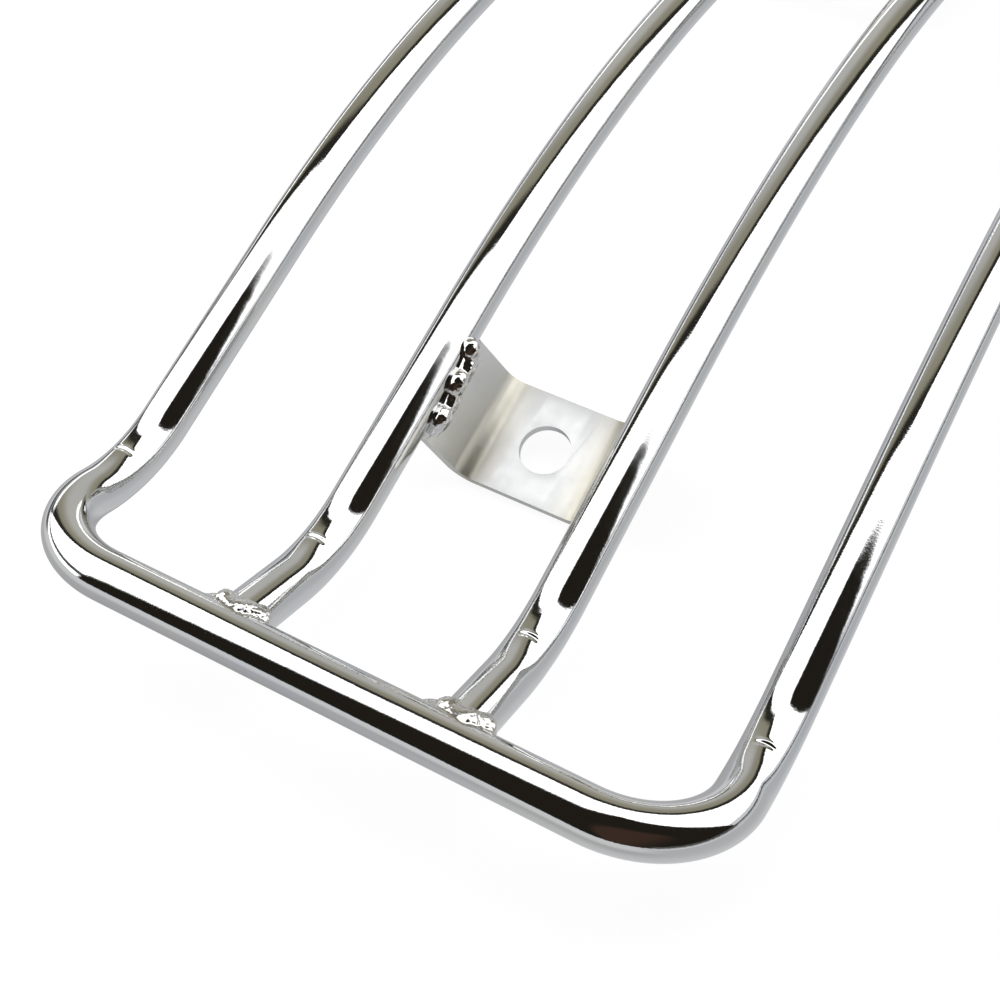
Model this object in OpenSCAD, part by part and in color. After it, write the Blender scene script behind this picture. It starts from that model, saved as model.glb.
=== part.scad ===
// Luggage rack of welded round tube for a motorcycle's rear mudguard, in millimetres.
// X runs across the rack, Y along it from the near crossbar to the far one, Z is up.
// The rack stands as it lies on a table: on the near bracket's edge and on the far crossbar.

/* [Tube] */
// Outside diameter of all tubes
tube_d = 12.7; // [9:0.1:18]
// Wall of all tubes
tube_wall = 1.5; // [1:0.1:2.5]

/* [Plan of the rack] */
// Distance between neighbouring rails, axis to axis, four rails in all
rail_pitch = 58.5; // [48:0.5:75]
// Centreline radius of the four rounded corners of the outer loop
corner_r = 25; // [18:0.5:30]

/* [Side profile of the rails] */
// Straight tube between a near corner and the kink
near_straight = 1.3; // [0.5:0.1:20]
// Angle by which the rails turn upward at the kink
kink_angle = 38.5; // [20:0.5:50]
// Centreline radius of the kink
kink_r = 42; // [30:1:60]
// Straight tube between the kink and the long curve
straight_run = 58; // [45:1:90]
// Centreline radius of the long curve over the mudguard
arc_r = 385; // [300:5:500]
// Angle of the long curve
arc_angle = 41.2; // [25:0.2:50]
// Straight tube between the long curve and a far corner
far_straight = 2; // [0.5:0.1:20]

/* [Creases at the kinks] */
// How far round the kink each crease lies, counted from the near end
crease_at = 16; // [8:1:30]
// Height of the crease above the tube
crease_height = 0.45; // [0.2:0.05:0.8]
// Half of the angle that the crease spans round the tube
crease_spread = 38; // [25:1:60]
// Roundness of the crease's ridge
crease_ridge_r = 0.8; // [0.5:0.05:1.2]

/* [Brackets] */
// Thickness of the brackets' sheet
sheet = 2.5; // [1.5:0.1:4]
// Width of a bracket along the rails
tab_width = 31; // [22:0.5:40]
// Clear width of a bracket's flat between its two folds
tab_floor = 34.8; // [28:0.2:44]
// Depth of the near bracket's upper face below the rails' axes
tab_drop = 23; // [16:0.5:35]
// The same for the far bracket, where the rails lie closer to the mudguard
far_tab_drop = 13; // [10:0.5:24]
// Inside radius of a bracket's folds
fold_r = 2.5; // [1:0.1:5]
// Gap that the weld fills between a bracket's edge and the tube
root_gap = 2; // [1:0.1:3]
// Diameter of the bolt hole
bolt_hole = 14; // [8:0.1:18]
// Tube left between the near bracket and the start of the long curve
near_tab_margin = 1.5; // [0:0.1:10]
// Distance of the far bracket's middle from the far crossbar, along the rails
far_tab_back = 60; // [50:1:130]

/* [Welds] */
// Radius of one lump of the bead between bracket and rail
tab_lump_r = 3; // [2.5:0.1:3.6]
// Largest distance between neighbouring lumps of that bead
tab_lump_step = 5.3; // [3:0.1:5.4]
// Length of tab bead left out at each end of a bracket
tab_bead_inset = 2.4; // [1:0.1:5]
// Radius of one lump of the bead at a crossbar
joint_lump_r = 2.3; // [1.8:0.1:2.8]
// Distance of that bead's middle from the crossbar's axis, where it crosses the rail's top
joint_bead_toe = 3.6; // [1:0.1:6]
// How far the middles of its lumps lie below the rail's surface
joint_bead_sink = 0.3; // [0:0.1:1]
// Angle between neighbouring lumps of that bead, round the rail
joint_lump_step = 20; // [12:1:24]
// Where that bead starts, as an angle round the rail from its top
joint_bead_from = -140; // [-160:5:-90]
// Where that bead ends
joint_bead_to = 60; // [30:5:120]
// Root gap of the butt weld that closes the outer loop
seam_gap = 1.2; // [0.8:0.1:2]

/* [Hidden] */
tube_r = tube_d / 2;
bore_r = tube_r - tube_wall;
// Axes of the inner and the outer rails
inner_x = rail_pitch / 2;
outer_x = rail_pitch * 3 / 2;
// Where the kink starts and what lies past the long curve, from the crossbars' axes
kink_start = corner_r + near_straight;
far_reach = corner_r + far_straight;
far_slope = kink_angle - arc_angle;

// Facets, only for the preview and for the check mesh
tube_sides = 48;
kink_steps = 120;
corner_steps = 72;
arc_steps = 360;
lump_sides = 32;
// How far a cutting body reaches past what it cuts
over = 1;
// Straights run this far into the bends and folds, which are a hair fuller, so that the solids
// cross cleanly there and never meet along a line of tangency
lap = 0.6;
fold_lap = 0.3;
hair = 0.04;

// Points of the rails' axis as [y, z], in the frame of the near crossbar
function along(slope) = [cos(slope), sin(slope)];
function across(slope) = [-sin(slope), cos(slope)];
kink_end = [kink_start, kink_r] - kink_r * across(kink_angle);
run_end = kink_end + straight_run * along(kink_angle);
arc_centre = run_end - arc_r * across(kink_angle);
arc_end = arc_centre + arc_r * across(far_slope);
far_bar = arc_end + far_reach * along(far_slope);

// The brackets' places: along the straight run, and as an angle of the long curve
near_tab_at = straight_run - near_tab_margin - tab_width / 2;
far_tab_angle = arc_angle - (far_tab_back - far_reach) / arc_r * 180 / PI;
far_tab_slope = kink_angle - far_tab_angle;
near_tab_mid = kink_end + near_tab_at * along(kink_angle);
far_tab_mid = arc_centre + arc_r * across(far_tab_slope);

// A bracket's side points with the middle of its sheet at the tube's axis
side_out = inner_x - tab_floor / 2;
function side_reach(drop) = norm([side_out, drop]);
function fold_angle(drop) = atan2(drop, side_out) + asin(sheet / 2 / side_reach(drop));
function fold_lead(drop) = fold_r * tan(fold_angle(drop) / 2);
function side_length(drop) =
    sqrt(pow(side_reach(drop), 2) - pow(sheet / 2, 2)) - tube_r - root_gap - fold_lead(drop);

// Supports as [y, z, radius]: a bracket's lower edge, the kink's underside, the far crossbar
near_edge = near_tab_mid - tab_width / 2 * along(kink_angle) - (tab_drop + sheet) * across(kink_angle);
far_edge = far_tab_mid + tab_width / 2 * along(far_tab_slope)
    - (far_tab_drop + sheet) * across(far_tab_slope);
near_supports = [concat(near_edge, 0), [kink_start, kink_r, kink_r + tube_r]];
far_supports = [concat(far_bar, tube_r), concat(far_edge, 0)];

// Slope of the line that touches two supports from below
function support_slope(a, b) =
    let (step = [b[0] - a[0], b[1] - a[1]])
    atan2(step[1], step[0]) - asin((b[2] - a[2]) / norm(step));

// The table's slope in the near crossbar's frame, and where the table and the middle come to lie
table_slope = max([for (a = near_supports) min([for (b = far_supports) support_slope(a, b)])]);
function height(p) = p[1] * cos(table_slope) - p[0] * sin(table_slope);
function reach(p) = p[0] * cos(table_slope) + p[1] * sin(table_slope);
table_z = min([for (s = concat(near_supports, far_supports)) height(s) - s[2]]);
middle_y = reach(far_bar) / 2;

// Frames along the rails. Each puts its children at a point of the axis, Y along it, Z up from it.
module on_table() {
    translate([0, -middle_y, -table_z])
        rotate([-table_slope, 0, 0])
            children();
}

module at_kink(angle) {
    translate([0, kink_start, kink_r])
        rotate([angle, 0, 0])
            translate([0, 0, -kink_r])
                children();
}

module at_run(distance) {
    at_kink(kink_angle)
        translate([0, distance, 0])
            children();
}

module at_arc(angle) {
    at_run(straight_run)
        translate([0, 0, -arc_r])
            rotate([-angle, 0, 0])
                translate([0, 0, arc_r])
                    children();
}

module at_far_bar() {
    at_arc(arc_angle)
        translate([0, far_reach, 0])
            mirror([0, 1, 0])
                children();
}

// Solid rods. A tube is the rod of its outside less the rod of its bore.
module straight_rod(length, r) {
    translate([0, -lap, 0])
        rotate([-90, 0, 0])
            cylinder(h = length + 2 * lap, r = r, $fn = tube_sides);
}

// A bend that starts along Y and turns up toward Z
module bend_rod(bend, angle, r, steps) {
    translate([0, 0, bend])
        rotate([0, 90, 0])
            rotate_extrude(angle = angle, $fn = steps)
                translate([bend, 0])
                    circle(r = r + hair, $fn = tube_sides);
}

// One rail from end to end. The lead carries it past its end straights, up to a crossbar's axis.
module rail_rod(r, lead) {
    translate([0, corner_r - lead, 0])
        straight_rod(near_straight + lead, r);
    at_kink(0)
        bend_rod(kink_r, kink_angle, r, kink_steps);
    at_run(0)
        straight_rod(straight_run, r);
    at_arc(0)
        mirror([0, 0, 1])
            bend_rod(arc_r, arc_angle, r, arc_steps);
    at_arc(arc_angle)
        straight_rod(far_straight + lead, r);
}

// A crossbar with the axis on X
module bar_rod(r) {
    length = 2 * (outer_x - corner_r + lap);
    translate([-length / 2, 0, 0])
        rotate([0, 90, 0])
            cylinder(h = length, r = r, $fn = tube_sides);
}

// The quarter turn from the crossbar into the right side rail
module corner_rod(r) {
    translate([outer_x - corner_r, corner_r, 0])
        rotate([0, 0, -90])
            rotate_extrude(angle = 90, $fn = corner_steps)
                translate([corner_r, 0])
                    circle(r = r + hair, $fn = tube_sides);
}

module both_sides() {
    children();
    mirror([1, 0, 0])
        children();
}

module loop_rod(r) {
    both_sides()
        translate([outer_x, 0, 0])
            rail_rod(r, 0);
    both_sides()
        corner_rod(r);
    bar_rod(r);
    at_far_bar() {
        both_sides()
            corner_rod(r);
        bar_rod(r);
    }
}

// The ridge that the wall throws up on the inner side of a tight bend. It is a ring set inside
// the tube and raised, so that only its crest stands out and both its ends run into the wall.
module crease() {
    lift = crease_height / (1 - cos(crease_spread));
    ring = tube_r + crease_height - lift - crease_ridge_r;
    at_kink(crease_at)
        translate([0, 0, lift])
            rotate([90, 0, 0])
                rotate_extrude($fn = tube_sides)
                    translate([ring, 0])
                        circle(r = crease_ridge_r, $fn = lump_sides);
}

module seam_slot() {
    at_far_bar()
        translate([-seam_gap / 2, -tube_d, -tube_d])
            cube([seam_gap, 2 * tube_d, 2 * tube_d]);
}

module outer_loop() {
    color("Silver")
        on_table()
            difference() {
                union() {
                    loop_rod(tube_r);
                    both_sides()
                        translate([outer_x, 0, 0])
                            crease();
                }
                loop_rod(bore_r);
                seam_slot();
            }
}

module loop_seam_weld() {
    color("Gainsboro")
        on_table()
            at_far_bar()
                translate([-seam_gap / 2, 0, 0])
                    rotate([0, 90, 0])
                        difference() {
                            cylinder(h = seam_gap, r = tube_r, $fn = tube_sides);
                            translate([0, 0, -over])
                                cylinder(h = seam_gap + 2 * over, r = bore_r, $fn = tube_sides);
                        }
}

// What copes a rail's end: the crossbar, and all that lies beyond its axis
module cope() {
    bar_rod(tube_r);
    translate([-outer_x, -2 * tube_d, -tube_d])
        cube([2 * outer_x, 2 * tube_d, 2 * tube_d]);
}

// The ends are cut to the outside of the crossbars that they are welded to.
module inner_rail(side) {
    color("Silver")
        on_table()
            difference() {
                translate([side * inner_x, 0, 0])
                    union() {
                        rail_rod(tube_r, corner_r);
                        crease();
                    }
                translate([side * inner_x, 0, 0])
                    rail_rod(bore_r, corner_r);
                cope();
                at_far_bar()
                    cope();
            }
}

module inner_rail_left() {
    inner_rail(-1);
}

module inner_rail_right() {
    inner_rail(1);
}

// One fold and one side of a bracket, to the right
module tab_side(drop) {
    translate([tab_floor / 2 - fold_lead(drop), 0, fold_r - drop]) {
        rotate([90, 0, 0])
            translate([0, 0, -tab_width / 2 - hair])
                rotate([0, 0, -90])
                    tab_fold(fold_angle(drop));
        rotate([0, -fold_angle(drop), 0])
            translate([-fold_lap, -tab_width / 2, -fold_r - sheet])
                cube([side_length(drop) + fold_lap, tab_width, sheet]);
    }
}

// The fold itself, a part of a ring as wide as the bracket
module tab_fold(angle) {
    rotate_extrude(angle = angle, $fn = corner_steps)
        translate([fold_r - hair, 0])
            square([sheet + 2 * hair, tab_width + 2 * hair]);
}

module tab_floor_plate(drop) {
    flat = tab_floor - 2 * (fold_lead(drop) - fold_lap);
    translate([-flat / 2, -tab_width / 2, -drop - sheet])
        cube([flat, tab_width, sheet]);
}

// A bracket in the frame of the rails' axes, with the bolt hole in the middle of its flat
module tab(drop) {
    difference() {
        union() {
            tab_floor_plate(drop);
            both_sides()
                tab_side(drop);
        }
        translate([0, 0, -drop - sheet - over])
            cylinder(h = sheet + 2 * over, d = bolt_hole, $fn = corner_steps);
    }
}

module near_tab() {
    color("LightSteelBlue")
        on_table()
            at_run(near_tab_at)
                tab(tab_drop);
}

module far_tab() {
    color("LightSteelBlue")
        on_table()
            at_arc(far_tab_angle)
                tab(far_tab_drop);
}

// A steady wobble between -1 and 1, so that no two lumps of a hand-laid bead are alike. The seeds
// name one run of the hand each.
near_bead_seed = 6;
far_bead_seed = 8;
function wobble(i, seed) = sin(i * 137.5 + seed * 71);

// Lumps between a bracket's side and the right inner rail, in the bracket's frame
module tab_bead(drop, seed) {
    angle = fold_angle(drop);
    length = tab_width - 2 * tab_bead_inset;
    steps = ceil(length / tab_lump_step);
    from_axis = tube_r + root_gap / 2;
    inward = sheet / 3;
    for (i = [0 : steps]) {
        r = tab_lump_r * (1 + 0.07 * wobble(i, seed));
        x = inner_x - from_axis * cos(angle) - inward * sin(angle) + 0.3 * wobble(i, seed + 1);
        z = -from_axis * sin(angle) + inward * cos(angle) + 0.3 * wobble(i, seed + 2);
        translate([x, (i / steps - 0.5) * length, z])
            sphere(r = r, $fn = lump_sides);
    }
}

module near_tab_weld(side, seed) {
    color("Gainsboro")
        on_table()
            at_run(near_tab_at)
                mirror([side < 0 ? 1 : 0, 0, 0])
                    difference() {
                        tab_bead(tab_drop, seed);
                        translate([inner_x, -tab_width, 0])
                            straight_rod(2 * tab_width, tube_r);
                        tab_side(tab_drop);
                    }
}

module far_tab_weld(side, seed) {
    color("Gainsboro")
        on_table()
            mirror([side < 0 ? 1 : 0, 0, 0])
                difference() {
                    at_arc(far_tab_angle)
                        tab_bead(far_tab_drop, seed);
                    translate([inner_x, 0, 0])
                        at_arc(0)
                            mirror([0, 0, 1])
                                bend_rod(arc_r, arc_angle, tube_r, arc_steps);
                    at_arc(far_tab_angle)
                        tab_side(far_tab_drop);
                }
}

module tab_weld_near_left() {
    near_tab_weld(-1, 1);
}

module tab_weld_near_right() {
    near_tab_weld(1, 2);
}

module tab_weld_far_left() {
    far_tab_weld(-1, 3);
}

module tab_weld_far_right() {
    far_tab_weld(1, 3);
}

// Lumps round a rail's end, in the groove where two tubes of one size meet. The groove lies
// furthest from the crossbar's axis at the rail's sides and comes back towards it on the top.
module joint_bead(seed) {
    steps = floor((joint_bead_to - joint_bead_from) / joint_lump_step);
    for (i = [0 : steps]) {
        angle = joint_bead_from + i * (joint_bead_to - joint_bead_from) / steps;
        groove = norm([tube_r * sin(angle), joint_bead_toe]);
        off_axis = tube_r + 0.15 * wobble(i, seed) - joint_bead_sink;
        translate([off_axis * sin(angle), groove, off_axis * cos(angle)])
            sphere(r = joint_lump_r * (1 + 0.1 * wobble(i, seed + 1)), $fn = lump_sides);
    }
}

module joint_weld(side, seed) {
    difference() {
        translate([side * inner_x, 0, 0])
            joint_bead(seed);
        translate([side * inner_x, 0, 0])
            straight_rod(kink_start, tube_r);
        bar_rod(tube_r);
    }
}

module near_joint_weld(side, seed) {
    color("Gainsboro")
        on_table()
            joint_weld(side, seed);
}

module far_joint_weld(side, seed) {
    color("Gainsboro")
        on_table()
            at_far_bar()
                joint_weld(side, seed);
}

module joint_weld_near_left() {
    near_joint_weld(-1, near_bead_seed);
}

module joint_weld_near_right() {
    near_joint_weld(1, near_bead_seed);
}

module joint_weld_far_left() {
    far_joint_weld(-1, far_bead_seed);
}

module joint_weld_far_right() {
    far_joint_weld(1, far_bead_seed);
}

outer_loop();
inner_rail_left();
inner_rail_right();
near_tab();
far_tab();
joint_weld_near_left();
joint_weld_near_right();
joint_weld_far_left();
joint_weld_far_right();
tab_weld_near_left();
tab_weld_near_right();
tab_weld_far_left();
tab_weld_far_right();
loop_seam_weld();
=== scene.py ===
# %% [markdown]
# # A chromed luggage rack
# The rack is welded from one size of steel tube, with two folded brackets below, and the whole of
# it is chromed. Chrome has almost no colour of its own: what we see on it is its surroundings. So
# this lesson spends its care on three things: the shape of the tube, the welds, and the studio
# that the metal mirrors.
#
# The exact solids are loaded first, as a fixed frame. Everything made here lies where they lie.

import math

import bpy
import numpy as np
from mathutils import Matrix, Vector, noise as noise3


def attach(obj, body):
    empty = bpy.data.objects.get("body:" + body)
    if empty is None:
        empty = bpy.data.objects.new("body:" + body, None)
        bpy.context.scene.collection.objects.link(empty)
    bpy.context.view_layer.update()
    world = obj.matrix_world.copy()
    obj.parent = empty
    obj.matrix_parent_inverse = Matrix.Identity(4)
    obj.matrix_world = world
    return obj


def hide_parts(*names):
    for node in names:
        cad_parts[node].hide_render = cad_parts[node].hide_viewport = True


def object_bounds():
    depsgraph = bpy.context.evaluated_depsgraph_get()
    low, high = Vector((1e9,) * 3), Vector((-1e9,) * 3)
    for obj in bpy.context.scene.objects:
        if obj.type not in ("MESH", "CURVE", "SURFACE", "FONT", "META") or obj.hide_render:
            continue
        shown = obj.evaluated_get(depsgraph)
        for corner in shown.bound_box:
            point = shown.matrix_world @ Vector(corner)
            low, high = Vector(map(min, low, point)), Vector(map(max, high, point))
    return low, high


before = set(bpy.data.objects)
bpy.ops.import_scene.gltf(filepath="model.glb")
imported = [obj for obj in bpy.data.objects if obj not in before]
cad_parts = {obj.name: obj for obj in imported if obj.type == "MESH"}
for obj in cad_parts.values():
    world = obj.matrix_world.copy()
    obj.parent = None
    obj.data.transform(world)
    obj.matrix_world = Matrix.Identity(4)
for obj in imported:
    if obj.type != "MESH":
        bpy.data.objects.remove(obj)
cad_low, cad_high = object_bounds()
print("frame loaded:", len(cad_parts), "nodes, box", cad_low, cad_high)

# %% [markdown]
# ## The path of a rail
# On the real rack every rail is one tube: a short level piece, a tight kink upward, a straight run
# and then a long, easy curve down to the far crossbar. We could draw it as a curve object and give
# that a round bevel. Here the path is a small function instead, because it then also tells us how
# far along the tube a point is. The kink's crease and the welds are placed by that distance.
#
# All of it is written in millimetres, in the frame of the near crossbar, and turned into the
# rack's own frame at the end.

# %% Sizes of the tube and of the rail's path
MM = 0.001
TUBE_R = 6.35
RAIL_PITCH = 58.5
INNER_X = RAIL_PITCH / 2
OUTER_X = RAIL_PITCH * 3 / 2
CORNER_R = 25.0
NEAR_STRAIGHT = 1.3
KINK_ANGLE = math.radians(38.5)
KINK_R = 42.0
STRAIGHT_RUN = 58.0
ARC_R = 385.0
ARC_ANGLE = math.radians(41.2)
FAR_STRAIGHT = 2.0

KINK_START = CORNER_R + NEAR_STRAIGHT
RUN_START = KINK_START + KINK_R * KINK_ANGLE
ARC_START = RUN_START + STRAIGHT_RUN
ARC_END = ARC_START + ARC_R * ARC_ANGLE
FAR_CORNER = ARC_END + FAR_STRAIGHT
FAR_BAR = FAR_CORNER + CORNER_R
print("rail, from crossbar to crossbar: %.1f mm" % FAR_BAR)


# %% A point of the rail's axis, with its slope
def kink_point(turn):
    """A point of the kink, where the rail has turned upward by an angle."""
    return np.array([KINK_START + KINK_R * math.sin(turn), KINK_R * (1 - math.cos(turn))])


def rail_axis(length):
    """Y and Z of the axis at a length of the rail, and its slope there."""
    if length < KINK_START:
        return np.array([length, 0.0]), 0.0
    if length < RUN_START:
        turn = (length - KINK_START) / KINK_R
        return kink_point(turn), turn
    along = np.array([math.cos(KINK_ANGLE), math.sin(KINK_ANGLE)])
    if length < ARC_START:
        return kink_point(KINK_ANGLE) + (length - RUN_START) * along, KINK_ANGLE
    run_end = kink_point(KINK_ANGLE) + STRAIGHT_RUN * along
    centre = run_end + ARC_R * np.array([along[1], -along[0]])
    turn = KINK_ANGLE - min(length - ARC_START, ARC_R * ARC_ANGLE) / ARC_R
    point = centre + ARC_R * np.array([-math.sin(turn), math.cos(turn)])
    past = max(length - ARC_END, 0.0)
    return point + past * np.array([math.cos(turn), math.sin(turn)]), turn


print("the kink's end lies %.1f mm above the near crossbar" % kink_point(KINK_ANGLE)[1])

# %% Along and above the rail, in the near crossbar's frame
ACROSS = np.array([1.0, 0.0, 0.0])


def rail_frame(length):
    """Centre of the axis, and the directions along and above it, at a length of the rail."""
    (y, z), slope = rail_axis(length)
    c, s = math.cos(slope), math.sin(slope)
    return np.array([0.0, y, z]), np.array([0.0, c, s]), np.array([0.0, -s, c])


def on_rail(points, length):
    """Points given across X, along and above the rail's axis, put at a length of the rail."""
    centre, along, above = rail_frame(length)
    p = np.asarray(points, dtype=float)
    return centre + p[..., :1] * ACROSS + p[..., 1:2] * along + p[..., 2:] * above


print("slope at the far crossbar: %.1f degrees" % math.degrees(rail_axis(FAR_BAR)[1]))

# %% From the near crossbar's frame to the rack's, in metres
TABLE_SLOPE = math.radians(21.4026897)
TABLE_Z = -27.5138601
MIDDLE_Y = 201.3277818


def to_rack(points):
    """Tips the points until the rack lies on its two ends, as it does on a table."""
    p = np.asarray(points, dtype=float)
    c, s = math.cos(TABLE_SLOPE), math.sin(TABLE_SLOPE)
    y = p[..., 1] * c + p[..., 2] * s - MIDDLE_Y
    z = p[..., 2] * c - p[..., 1] * s - TABLE_Z
    return np.stack([p[..., 0], y, z], axis=-1) * MM


print("axis of the near crossbar in the rack, in metres:", to_rack([0, 0, 0]).round(4))

# %% [markdown]
# ## The crease at the kink
# When a thin tube is bent tightly, the wall on the inner side of the bend has to go somewhere. It
# folds into a small sharp groove with a lip behind it, and the tube is a little flattened and
# rippled to either side. The depth is a fraction of a millimetre, but a mirror shows it plainly. A
# bump map would do for a far view. We move the vertices, because the crease breaks the tube's
# outline too.

# %% How far the wall stands out near the kink
CREASE_AT = KINK_START + KINK_R * math.radians(16)
CREASE_SPREAD = math.radians(27)
CREASE_BOW = 0.5
GROOVE_DEPTH = 0.30
GROOVE_EDGES = [-1.1, -0.15, 0.15, 0.75]
LIP_HEIGHT, LIP_AT, LIP_WIDTH = 0.12, 1.0, 0.35
PINCHES = [(0.05, -5.0, 3.2), (0.06, 5.0, 4.0)]  # depth, place along the tube, width
PINCH_ROUND = 0.7
WAVE_HEIGHT, WAVE_AT, WAVE_WIDTH = 0.004, 6.0, 6.0
WAVE_TURN, WAVE_ROUND = -0.25, 0.40


def bell(x, width):
    return np.exp(-0.5 * (x / width) ** 2)


def crease_relief(length, turn):
    """Height in mm at a length of the rail and an angle round it, from its top."""
    sideways = (turn / CREASE_SPREAD) ** 2
    span = np.clip(1 - sideways, 0, None)
    x = length - CREASE_AT + CREASE_BOW * sideways
    groove = -GROOVE_DEPTH * np.interp(x, GROOVE_EDGES, [0, 1, 1, 0])
    lip = LIP_HEIGHT * bell(x - LIP_AT, LIP_WIDTH)
    pinch = -sum(depth * bell(x - at, width) for depth, at, width in PINCHES)
    ripple = np.sin(1.7 * x + 1.2 * np.sin(0.7 * x))  # of uneven pitch
    wave = WAVE_HEIGHT * ripple * bell(x - WAVE_AT, WAVE_WIDTH)
    low_waves = pinch * bell(turn, PINCH_ROUND) + wave * bell(turn - WAVE_TURN, WAVE_ROUND)
    return (groove + lip) * span + low_waves


print("crease lies %.1f mm from the near crossbar's axis" % CREASE_AT)


# %% [markdown]
# ## Sweeping a tube
# A tube is rings of points, one after the other along the path, joined by quads. The rings lie
# close together where something happens, at the kink and in the corners, and far apart on straight
# pieces. Round the tube the points are closer on top, where the crease is.

# %% A ring of points, and where a rail gets one
SIDES = 96
TOP_CROWDING = 0.5
CREASE_REACH = 40.0
ring_step = np.linspace(0, 2 * math.pi, SIDES, endpoint=False)
ring_turn = ring_step - TOP_CROWDING * np.sin(ring_step)
ring_turn = np.where(ring_turn > math.pi, ring_turn - 2 * math.pi, ring_turn)

# up to this far from the crease, a ring at each such step
RING_STEPS = [(-12.0, 1.5), (-3.0, 0.6), (3.0, 0.14), (34.0, 0.5)]
LAST_RING_STEP = 2.6


def ring(centre, side, up, relief=0.0):
    r = (TUBE_R + relief) * np.ones(SIDES)
    return centre + np.outer(r * np.sin(ring_turn), side) + np.outer(r * np.cos(ring_turn), up)


def rail_ring(x, length, lean=1.0):
    centre, _, up = rail_frame(length)
    near_crease = abs(length - CREASE_AT) < CREASE_REACH
    relief = crease_relief(length, ring_turn) if near_crease else 0.0
    return ring(centre + x * ACROSS, lean * ACROSS, up, relief)


def rail_stations(first, last):
    """Lengths at which a rail gets a ring, close together round the kink."""
    parts, start = [], first
    for reach, step in RING_STEPS:
        parts.append(np.arange(start, CREASE_AT + reach, step))
        start = CREASE_AT + reach
    return np.concatenate([*parts, np.arange(start, last, LAST_RING_STEP), [last]])


print("rings on a rail between the corners:", len(rail_stations(CORNER_R, FAR_CORNER)))

# %% The mesh that joins the rings
TUBE_SHARP = math.radians(50)


def add_mesh(name, points, faces):
    mesh = bpy.data.meshes.new(name)
    mesh.from_pydata([tuple(p) for p in points], [], faces)
    piece = bpy.data.objects.new(name, mesh)
    bpy.context.scene.collection.objects.link(piece)
    return piece


def shade(piece, sharp=None):
    """Shades a piece smoothly, but for the edges that turn more than the angle sharp."""
    mesh = piece.data
    mesh.polygons.foreach_set("use_smooth", [True] * len(mesh.polygons))
    if sharp is not None:
        mesh.set_sharp_from_angle(angle=sharp)
    mesh.update()
    print("%s: %d points, %d faces" % (piece.name, len(mesh.vertices), len(mesh.polygons)))
    return piece


def tube_piece(name, rings):
    """A closed mesh over the rings, with a fan of triangles at either end."""
    rings = np.asarray(rings)
    count = len(rings)
    points = [*to_rack(rings.reshape(-1, 3))]
    points += [*to_rack([rings[0].mean(axis=0), rings[-1].mean(axis=0)])]
    faces = []
    for i in range(count - 1):
        a, b = i * SIDES, (i + 1) * SIDES
        faces += [(a + j, a + (j + 1) % SIDES, b + (j + 1) % SIDES, b + j) for j in range(SIDES)]
    first, last, end = count * SIDES, count * SIDES + 1, (count - 1) * SIDES
    faces += [(first, (j + 1) % SIDES, j) for j in range(SIDES)]
    faces += [(last, end + j, end + (j + 1) % SIDES) for j in range(SIDES)]
    piece = add_mesh(name, points, faces)
    piece.data.validate()
    return shade(piece, TUBE_SHARP)


# %% [markdown]
# ## The outer loop
# One tube makes the whole outer frame: two side rails, two crossbars and four rounded corners. It
# is closed by a butt weld that was ground flush, which lies in the middle of the far crossbar. The
# sweep starts at one side of that weld and ends at its other side. Seen along the sweep the left
# rail runs the other way, so its rings lean to the other side.

# %% Rings of a crossbar and of a corner
SEAM_HALF = 0.6
CORNER_STEPS = 28
BAR_RINGS = 12


def bar_ring(x, far):
    """A ring of a crossbar. Its side vector points away from the middle of the loop."""
    centre, along, up = rail_frame(FAR_BAR if far else 0.0)
    return ring(centre + x * ACROSS, along if far else -along, up)


def corner_rings(side, far):
    """The quarter turn between a crossbar and the rail of one side, from the crossbar on."""
    centre, along, up = rail_frame(FAR_BAR if far else 0.0)
    inward = -along if far else along
    middle = centre + side * (OUTER_X - CORNER_R) * ACROSS + CORNER_R * inward
    rings = []
    for turn in np.linspace(0, math.pi / 2, CORNER_STEPS + 1):
        outward = math.sin(turn) * side * ACROSS - math.cos(turn) * inward
        rings.append(ring(middle + CORNER_R * outward, outward, up))
    return rings


print("a corner has", len(corner_rings(1, False)), "rings")

# %% Once round the loop
bar_x = np.linspace(0, OUTER_X - CORNER_R, BAR_RINGS)
stations = rail_stations(CORNER_R, FAR_CORNER)
loop = [bar_ring(x, True) for x in [SEAM_HALF, *bar_x[1:-1]]]
loop += corner_rings(1, True)
loop += [rail_ring(OUTER_X, s) for s in stations[::-1][1:-1]]
loop += corner_rings(1, False)[::-1]
loop += [bar_ring(x, False) for x in bar_x[::-1][1:]]
loop += [bar_ring(-x, False) for x in bar_x[1:-1]]
loop += corner_rings(-1, False)
loop += [rail_ring(-OUTER_X, s, lean=-1.0) for s in stations[1:-1]]
loop += corner_rings(-1, True)[::-1]
loop += [bar_ring(-x, True) for x in [*bar_x[::-1][1:-1], SEAM_HALF]]
outer_loop = tube_piece("outer_loop_tube", loop)

# %% [markdown]
# ## The inner rails
# Their ends are coped: cut to a saddle, so that they sit snugly on the crossbars. A point of the
# saddle lies where the rail's wall meets the crossbar's. For two tubes of one size that is simply
# the sideways distance of the point from the rail's axis. The saddle is sunk a quarter of a
# millimetre into the crossbar, so that no light comes through.

# %% Rails with coped ends
SADDLE_SINK = 0.25
END_LENGTH = 6.0
END_STEPS = 8


def coped_end(x, length, way):
    """The saddle at a crossbar, from which the rail leads on (1) or comes back (-1)."""
    centre, along, up = rail_frame(length)
    saddle = np.abs(TUBE_R * np.sin(ring_turn)) - SADDLE_SINK
    return ring(centre + x * ACROSS, ACROSS, up) + way * np.outer(saddle, along)


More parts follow.
